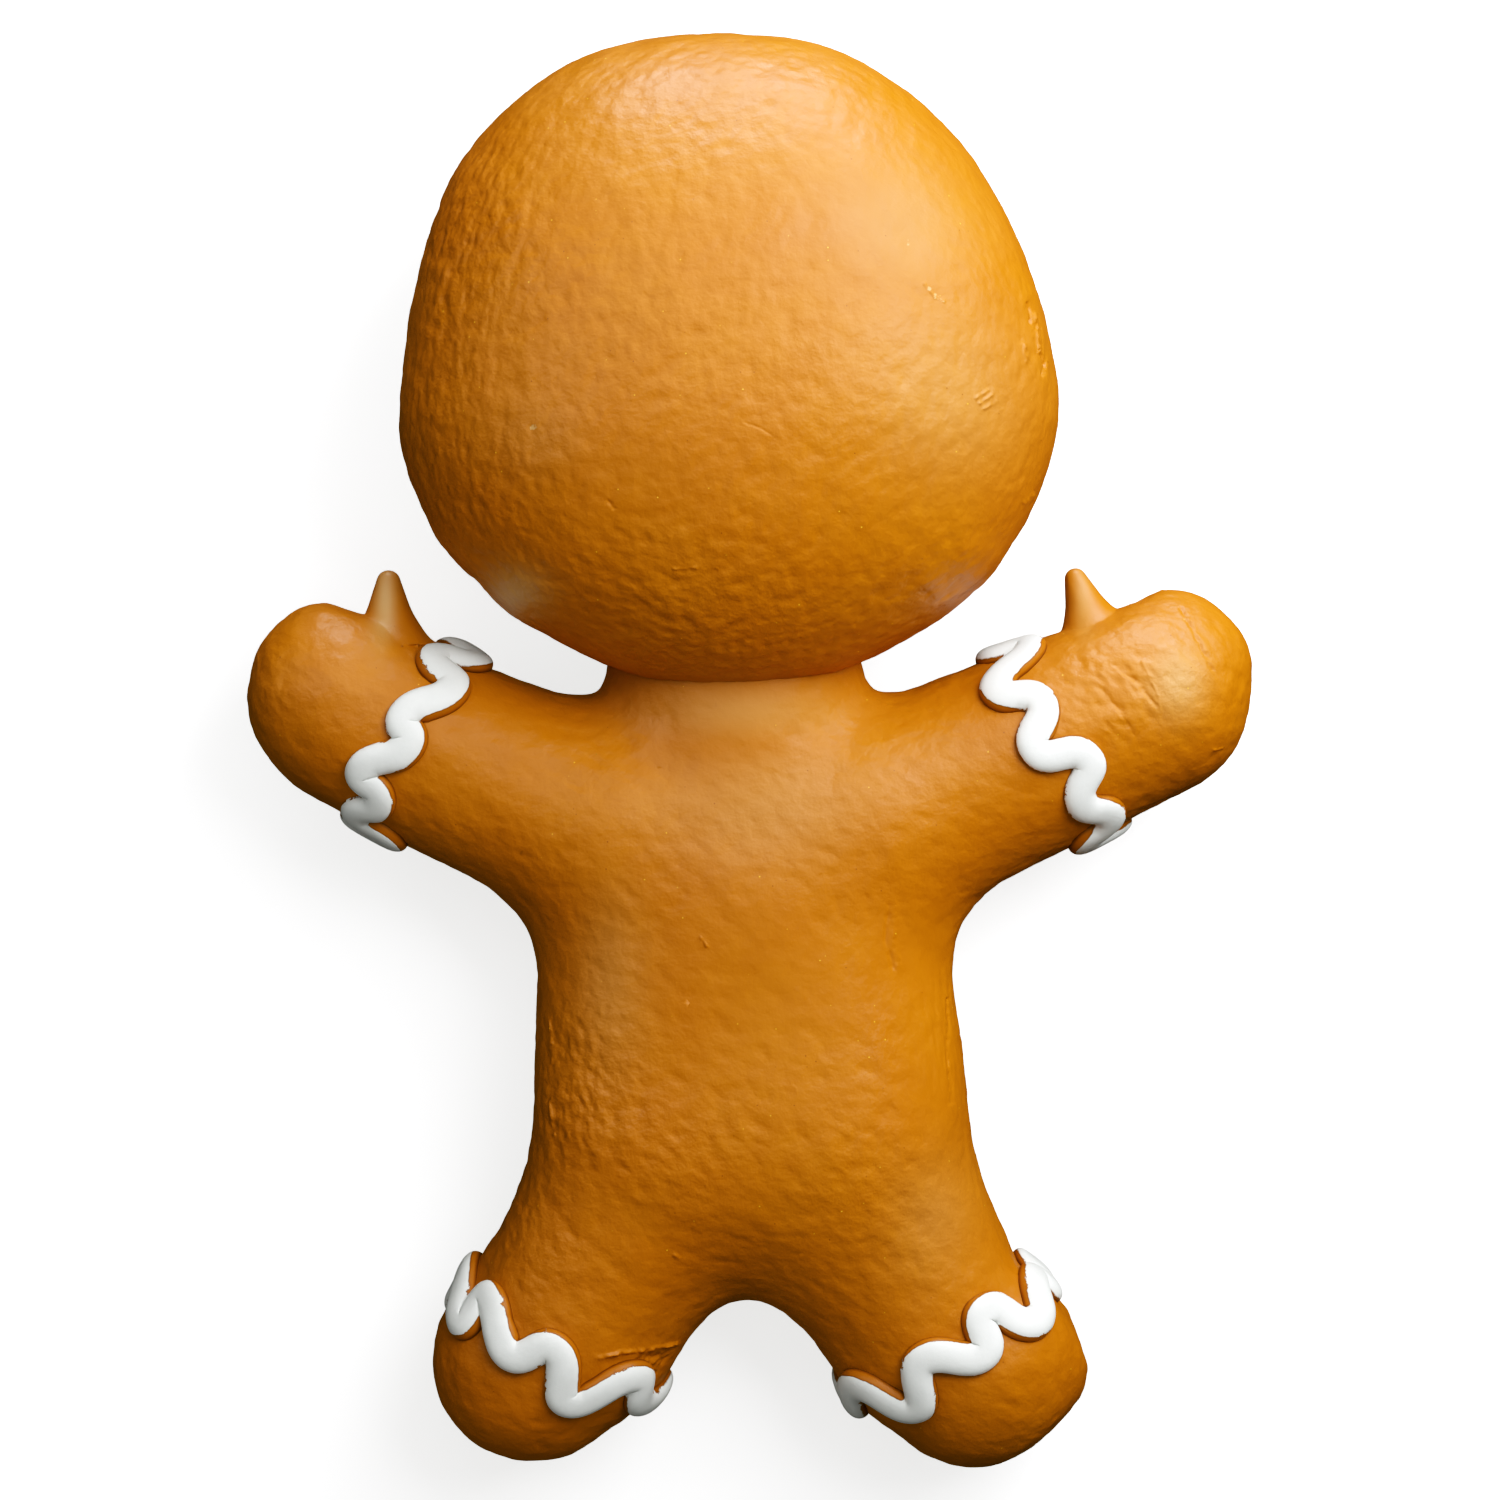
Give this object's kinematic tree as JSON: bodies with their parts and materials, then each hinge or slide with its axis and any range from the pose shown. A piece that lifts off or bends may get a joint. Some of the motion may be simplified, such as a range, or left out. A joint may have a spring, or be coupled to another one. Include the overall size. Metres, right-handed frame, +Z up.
{
  "type": "gingerbread man figure",
  "caption": "Moulded, painted gingerbread man display figure: big round head, arms held out, thumbs up, wavy raised white piping at wrists and ankles; lies face down.",
  "frame": {"origin": "middle of the figure's box, on the surface it lies on", "axes": "+Y from the feet to the top of the head, +Z up out of the figure's back, +X to the right of the shown back view"},
  "size_m": [0.6342, 0.8918, 0.2581],
  "materials": {
    "crust_paint": "semi-matte orange-brown paint on moulded resin with a lumpy, orange-peel skin",
    "icing_paint": "satin white paint brushed by hand on raised beads, with ragged edges"
  },
  "bodies": {
    "root": {"gingerbread_figure": "crust_paint", "icing_wrist_left": "icing_paint", "icing_wrist_right": "icing_paint", "icing_ankle_left": "icing_paint", "icing_ankle_right": "icing_paint"}
  },
  "joints": []
}
